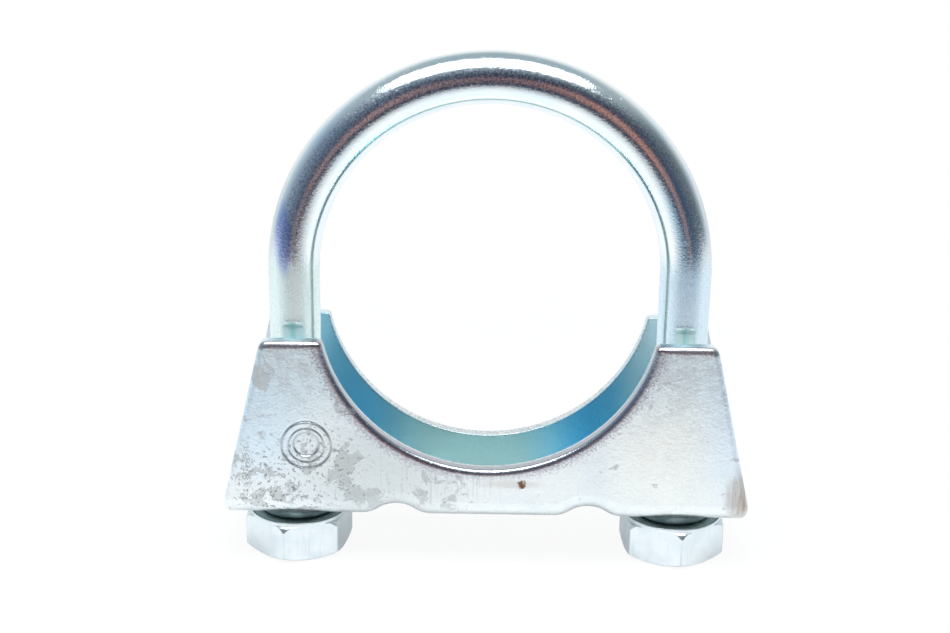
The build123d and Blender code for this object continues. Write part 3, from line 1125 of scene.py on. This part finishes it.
def rod_finish():
    """Bright plated bar with a fine grain, drawing lines along it, scuffs and the two flats."""
    material, shader, place = metal("zinc_rod")
    x, y, z = axes(place)
    over, outward, drawn = rod_places(x, y, z)
    tint, dents = noise(place, 9.0, 2.0), noise(place, 2.6, 2.0)
    lines, grain = noise(drawn, 0.5, 3.0, 0.6), noise(place, 0.36, 3.0, 0.6)
    specks = noise(place, 0.38, 3.0, 0.7)
    scuffs = rise(noise(scaled(place, (1.0, 1.0, 0.5)), 0.8, 3.0, 0.65, 0.8), 0.66, 0.72)
    legs = rise(over + grain * LEGS_RAGGED, *LEGS_OVER)
    inner = rise(outward, *INNER_SIDE)
    # the front of the bow, where its dark reflection lies: the specks there are partly wear, partly painted
    # reflection
    speck_and_reflection_belt = rise(outward, *BELT_INSIDE) * rise(outward, *BELT_OUTSIDE) * rise(y, *ROD_FRONT)
    speck_and_reflection_belt = speck_and_reflection_belt * rise(over, *BELT_OVER)
    mark, across = flat_mask(x, y, z)

    colour = mix(rise(tint, 0.35, 0.65), PALE_ZINC, CLEAR_ZINC)
    colour = mix(legs, colour, mix(rise(x, -10.0, 10.0), LEFT_LEG, RIGHT_LEG))
    # dark specks: partly wear, partly a painted dark reflection
    colour = mix(rise(specks, 0.48, 0.60) * speck_and_reflection_belt * 0.6, colour, DARK_SPECK_AND_REFLECTION)
    colour = tinted(colour, x, y, z, over, outward, inner)
    colour = mix(mark, colour, mix(rise(across + lines * 1.6, 1.9, 0.6) * 0.8, FLAT_SIDE, FLAT_MIDDLE))
    roughness = 0.06 + grain * 0.10 + rise(specks, 0.46, 0.36) * speck_and_reflection_belt * 0.14
    roughness = roughness + legs * lines * 0.40 + scuffs * 0.15 + mark * 0.45
    relief = grain * (1 - inner * 0.9) * GRAIN_RELIEF + lines * LINE_RELIEF + (dents + scuffs) * DENT_RELIEF
    metallic = 1.0 - mark - legs * (1 - mark) * 0.3
    join(shader, Base_Color=colour, Metallic=metallic, Roughness=roughness, relief=relief)
    return material


rod.data.materials.append(rod_finish())
print("rod finish:", len(rod.data.materials[0].node_tree.nodes), "nodes")

# %% [markdown]
# ## The nuts' finish
# The die that headed the nuts left fine upright lines on their flats, and the plate keeps them.
# A noise whose place is squeezed along the height draws such lines.

# %% Nut finish
NUT_CLEAR, NUT_PALE = (0.82, 0.88, 0.90), (0.75, 0.82, 0.85)
NUT_LINE, NUT_CORNER_SHADE, NUT_TOP_SHADE = (0.62, 0.70, 0.74), (0.42, 0.48, 0.50), (0.17, 0.22, 0.22)
CORNER_REACH = (10.92, 11.04)   # from the nut's axis, just inside the hexagon's corners
NUT_LINE_RELIEF, NUT_GRAIN_RELIEF, NUT_CLOUD_RELIEF = 0.008 * MM, 0.005 * MM, 0.02 * MM


def leg_reach(x, y):
    """The distance from the nearer leg's axis."""
    return ((abs(x) - leg_x / MM) ** 2.0 + y * y) ** 0.5


def nut_finish():
    """Plated steel with fine upright lines, and painted shade on its corners and on the face under the
    saddle.
    """
    material, shader, place = metal("zinc_nut")
    x, y, z = axes(place)
    lines = noise(scaled(place, (1.0, 1.0, 0.07)), 0.55, 3.0, 0.6)
    cloud, grain = noise(place, 3.5, 3.0, 0.6), noise(place, 0.3, 2.0)
    colour = mix(rise(cloud, 0.35, 0.7), NUT_CLEAR, NUT_PALE)
    colour = mix(rise(lines, 0.56, 0.72) * 0.45, colour, NUT_LINE)
    # painted shade: darker along the hexagon's corners
    colour = mix(rise(leg_reach(x, y) + lines * 0.2, *CORNER_REACH) * 0.7, colour, NUT_CORNER_SHADE)
    # painted shade: the face under the saddle is dark
    colour = mix(rise(z, nut_height / MM - 0.08, nut_height / MM - 0.02), colour, NUT_TOP_SHADE)
    relief = lines * NUT_LINE_RELIEF + grain * NUT_GRAIN_RELIEF + cloud * NUT_CLOUD_RELIEF
    join(shader, Base_Color=colour, Roughness=0.20 + lines * 0.16 + cloud * 0.08, relief=relief)
    return material


zinc_nut = nut_finish()
for nut in nuts:
    nut.data.materials.append(zinc_nut)
print("nut finish:", len(zinc_nut.node_tree.nodes), "nodes")

# %% [markdown]
# ## The saddle's sheet
# The sheet has a leathery grain, and its zinc drifts between warm and bluish white. Towards the
# tops of the towers the grain is coarser and greyer. Every mask is made from the same few noises,
# so that marks which lie over one another share their borders, as on real sheet. Heights are
# counted from the saddle's underside, and all lengths are in millimetres.

# %% The sheet's noises
def sheet_noises(place):
    """The place on the saddle, its front, and every noise that its marks are made from."""
    x, y, z = axes(place)
    return SimpleNamespace(
        x=x, y=y, z=z - underside / MM, front=rise(y, -9.0, -10.0),
        tint=noise(place, 12.0, 3.0), grain=noise(place, 0.50, 4.0, 0.65),
        leather=noise(place, 1.2, 3.0, 0.6), smears=noise(place, 3.2, 5.0, 0.66),
        cloud=noise(place, 5.0, 6.0, 0.62, 0.8), fine=noise(place, 0.8, 3.0, 0.6),
        streaks=noise(scaled(place, (1.0, 1.0, 0.06)), 0.8, 3.0, 0.6),
    )


# %% The sheet's own colour
ZINC_WARM, ZINC_COOL, ZINC_HIGH_REFLECTION = (0.88, 0.91, 0.91), (0.81, 0.87, 0.89), (0.82, 0.96, 1.0)
PORE, SMEAR = (0.52, 0.57, 0.63), (0.58, 0.60, 0.65)
# Each soft tint on the front: its middle, its radii, its share and its colour
SOFT_TINTS = (
    ((-44.0, 20), (7, 10), 0.7, (0.72, 0.89, 1.0)),
    ((46.0, 20), (5, 12), 0.7, (0.74, 0.88, 1.0)),
    ((34.0, 14), (9, 12), 0.6, (0.94, 0.95, 0.89)),
)


def sheet_colour(on):
    """Clean plated sheet, with its drifting tints, a painted bluer reflection high up, and the coarser grain
    on the towers.
    """
    colour = mix(rise(on.tint, 0.35, 0.65), ZINC_WARM, ZINC_COOL)
    # painted reflection: bluer and lighter higher up the saddle
    colour = mix(rise(on.z, 14, 30) * 0.9, colour, ZINC_HIGH_REFLECTION)
    for middle, radii, share, tint in SOFT_TINTS:
        colour = mix(spot(on.x, on.z, middle, radii, 0.8) * on.front * share, colour, tint)
    towers = rise(on.z, 16, 32) * on.front
    colour = mix(rise(on.grain, 0.45, 0.65) * (0.12 * on.front + towers * 0.20), colour, PORE)
    return mix(rise(on.smears, 0.46, 0.62) * (0.08 * on.front + towers * 0.36), colour, SMEAR)


# %% [markdown]
# ## Inside the channel
# The passivation ran together inside the channel and is thicker there. Its colour turns from a
# dull teal in the middle to steel blue on both sides, and is almost clear high in the towers.

# %% Channel colour
TEAL, STEEL_LEFT, STEEL_RIGHT = (0.66, 0.84, 0.84), (0.46, 0.84, 1.0), (0.34, 0.79, 0.98)
CHANNEL_RIGHT, CHANNEL_END, SEAT_PAINTED_LIGHT = (0.86, 1.0, 1.0), (0.90, 0.97, 0.98), (0.90, 1.0, 1.0)
TEAL_MIDDLE = -3.0


def channel_colour(on, colour):
    """The tinted inside of the saddle, and the seats over the nuts, lightened as painted light."""
    inside = rise(abs(on.y), 7.9, 7.4) * rise(on.z, 2.4, 2.7)
    steel = mix(rise(on.x, 12.0, 20.0), STEEL_LEFT, STEEL_RIGHT)
    steel = mix(rise(on.x, 24.0, 31.0), steel, CHANNEL_RIGHT)
    steel = mix(rise(abs(on.x), 38.0, 41.0), steel, CHANNEL_END)
    colour = mix(inside, colour, mix(rise(abs(on.x - TEAL_MIDDLE), 9.0, 23.0), TEAL, steel))
    # painted light: the shaded seats in the gap over the nuts are lightened
    seats = rise(leg_reach(on.x, on.y), 9.6, 8.4) * rise(on.z, 1.2, 0.4)
    return mix(seats, colour, SEAT_PAINTED_LIGHT)


# %% [markdown]
# ## Dull blotches
# Where the bath dried slowly the zinc is dull, with a sharp darker border. One cloud of noise has
# these borders everywhere. Wide soft spots lift it where the photograph has blotches, so most of
# them lie low on the left, and the threshold does the rest.

# %% Blotches
DULL, DULL_RIM = (0.64, 0.66, 0.65), (0.38, 0.40, 0.40)
SMUDGE, STREAK = (0.62, 0.66, 0.66), (0.58, 0.60, 0.60)
DULL_FROM, RIM_FROM, SPECK_FROM = (0.64, 0.66), (0.61, 0.635), (0.66, 0.70)     # of the noise
WORN_LIFT, BLOT_LIFT = 0.075, 0.15      # what the spots add to the cloud
# Each spot: its middle, its radii and its share
WORN = (((-39, 7), (13, 11), 1.0), ((-27, 20), (9, 9), 0.5), ((-10, 6), (12, 6), 0.6))
BLOTS = (((-27.4, 9.5), (2.9, 4.0), 1.0), ((-42.7, 3.9), (2.7, 2.3), 1.0), ((-22.5, 5.0), (3.4, 1.9), 0.8))
# Single spots, without a share
HIGH_BLOT, SMUDGED = ((-43.5, 29), (2.2, 2.6)), ((-21, 11), (13, 9))
SCRAPED, LINED = ((-45.6, 11), (0.8, 5.0)), ((-12, 9), (14, 7))


def spots(on, places):
    """Several soft spots added together."""
    return sum(spot(on.x, on.z, middle, radii, 0.6) * share for middle, radii, share in places)


def blotched(on, colour):
    """The colour with its blotches, specks and streaks, and the masks of the dull parts and specks."""
    worn = spots(on, WORN) * on.front
    blots = spots(on, BLOTS) + spot(on.x, on.z, *HIGH_BLOT, 0.7)
    dulled = on.cloud + worn * WORN_LIFT + blots * BLOT_LIFT
    dull = rise(dulled, *DULL_FROM) * on.front
    rim = rise(dulled, *RIM_FROM) * on.front - dull
    colour = mix(dull * 0.7, colour, DULL)
    smudge = spot(on.x, on.z + on.cloud * 6.0, *SMUDGED, 0.7) * on.front * 0.6
    colour = mix(smudge, colour, SMUDGE)
    specks = rise(on.fine + worn * 0.08, *SPECK_FROM) * (0.15 + worn) * on.front
    rimmed = rim * (worn + blots) * rise(on.grain, 0.4, 0.55) * 0.8
    colour = mix(specks * 0.6 + rimmed, colour, DULL_RIM)
    scraped = spot(on.x + on.streaks * 1.5, on.z, *SCRAPED, 0.6) * on.front
    colour = mix(scraped * rise(on.grain, 0.44, 0.56) * 0.8, colour, DULL_RIM)
    lined = spot(on.x, on.z, *LINED, 0.7) * on.front
    return mix(rise(on.streaks, 0.55, 0.65) * lined * 0.5, colour, STREAK), dull, specks


# %% [markdown]
# ## Rubbed edges, painted shade and stains
# The plate is dark and smooth along the cradle, partly where the punch rubbed it and partly as a
# painted dark reflection, and brownish and darker under the tops of the towers as painted shade. The
# pressed rings are darker in their grooves. At the right foot there is a brown stain, and near the
# middle one spot of rust with a faint smear.

# %% Edges, painted shade and stains
BURNISH_AND_REFLECTION, TOWER_TOP_PAINTED_SHADE, NOTCH = (0.40, 0.38, 0.44), (0.42, 0.35, 0.37), (0.40, 0.46, 0.50)
RING_DARK, STAIN = (0.36, 0.40, 0.42), (0.40, 0.35, 0.31)
RUST_SMEAR, RUST = (0.50, 0.42, 0.36), (0.20, 0.09, 0.04)
# Spots of the stain, the smear and the rust: middle and radii
STAINED, SMEARED = ((50.0, 8.0), (3.2, 5.0)), ((6.0, 8.6), (5.0, 0.7))
RUSTED = ((8.0, 9.0), (0.72, 0.85))
# Each darkened ring: its reach, how far the darkening fades to both sides, and its share
DARKENED_RINGS = ((4.9, 0.4, 1.0), (3.6, 0.35, 0.7), (2.6, 0.4, 1.0))


def edges_and_painted_shade(on, colour):
    """The colour with its rubbed cradle edge that also carries a painted dark reflection, painted shade under
    the tower tops and the notched line, and the mask of the rubbed stretch.
    """
    centre = (cradle_z - underside) / MM
    from_cradle = (on.x * on.x + (on.z - centre) ** 2.0) ** 0.5 - CRADLE_R / MM
    # partly burnish, which is smoother, and partly a painted dark reflection along the cradle on the front
    burnish_and_reflection = rise(on.grain * 7.0 - from_cradle, 0.8, 2.2) * rise(on.y, -7.9, -8.6) * rise(on.z, 7, 11)
    # painted shade: darker and brownish under the tops of the towers
    painted_top_shade = rise(on.grain * 6.0 + (on.z - (tower_top - underside) / MM) * 1.6, 0.2, 2.4) * on.front
    notched = rise(abs(from_cradle), 0.6, 0.2) * rise(on.grain, 0.47, 0.60) * rise(on.z, 7, 9)
    colour = mix(burnish_and_reflection * 0.75, colour, BURNISH_AND_REFLECTION)
    colour = mix(painted_top_shade * 0.8, colour, TOWER_TOP_PAINTED_SHADE)
    return mix(notched * 0.7, colour, NOTCH), burnish_and_reflection


def rings_stain_and_rust(on, colour):
    """The colour darker in the rings' grooves, with the stain and the rust, and the mask of the rust."""
    across, height = on.x - RING_PLACE[0] / MM, on.z - (RING_PLACE[1] - underside) / MM
    reach = (across**2.0 + height**2.0) ** 0.5 + on.fine * 0.3
    # darker along the rings' grooves
    ring_darkening = sum(rise(abs(reach - ring), fade, 0.1) * share for ring, fade, share in DARKENED_RINGS)
    colour = mix(ring_darkening * on.front * 0.55, colour, RING_DARK)
    stain = spot(on.x, on.z + on.cloud * 4.0, *STAINED, 0.5) * on.front
    colour = mix(stain * (0.60 + rise(on.streaks, 0.4, 0.6) * 0.4), colour, STAIN)
    smear = spot(on.x + on.fine * 3.0, on.z + on.grain * 1.5, *SMEARED, 0.7) * on.front
    rust = spot(on.x + on.fine * 2.4, on.z + on.grain * 2.4, *RUSTED, 0.35) * on.front
    return mix(rust, mix(smear * 0.35, colour, RUST_SMEAR), RUST), rust


# %% Saddle finish
SHEET_GRAIN, LEATHER, DULL_SINK, SPECK_SINK = 0.052 * MM, 0.050 * MM, 0.010 * MM, 0.015 * MM


def saddle_finish():
    """Plated sheet, mottled and a little stained on its front, and tinted inside."""
    material, shader, place = metal("zinc_saddle")
    on = sheet_noises(place)
    colour = channel_colour(on, sheet_colour(on))
    colour, dull, specks = blotched(on, colour)
    colour, burnish_and_reflection = edges_and_painted_shade(on, colour)
    colour, rust = rings_stain_and_rust(on, colour)
    roughness = 0.26 + on.grain * 0.14 + dull * 0.20 + specks * 0.2 + rust * 0.4 - burnish_and_reflection * 0.12
    relief = on.grain * SHEET_GRAIN + on.leather * LEATHER - dull * DULL_SINK - specks * SPECK_SINK
    join(shader, Base_Color=colour, Metallic=1.0 - rust * 0.9, Roughness=roughness, relief=relief)
    return material


saddle.data.materials.append(saddle_finish())
print("saddle finish:", len(saddle.data.materials[0].node_tree.nodes), "nodes")

# %% [markdown]
# ## The view
# The picture keeps Blender's plain view, so that colours come out about as they are written.

# %% Finish
bpy.context.scene.view_settings.view_transform = "Standard"
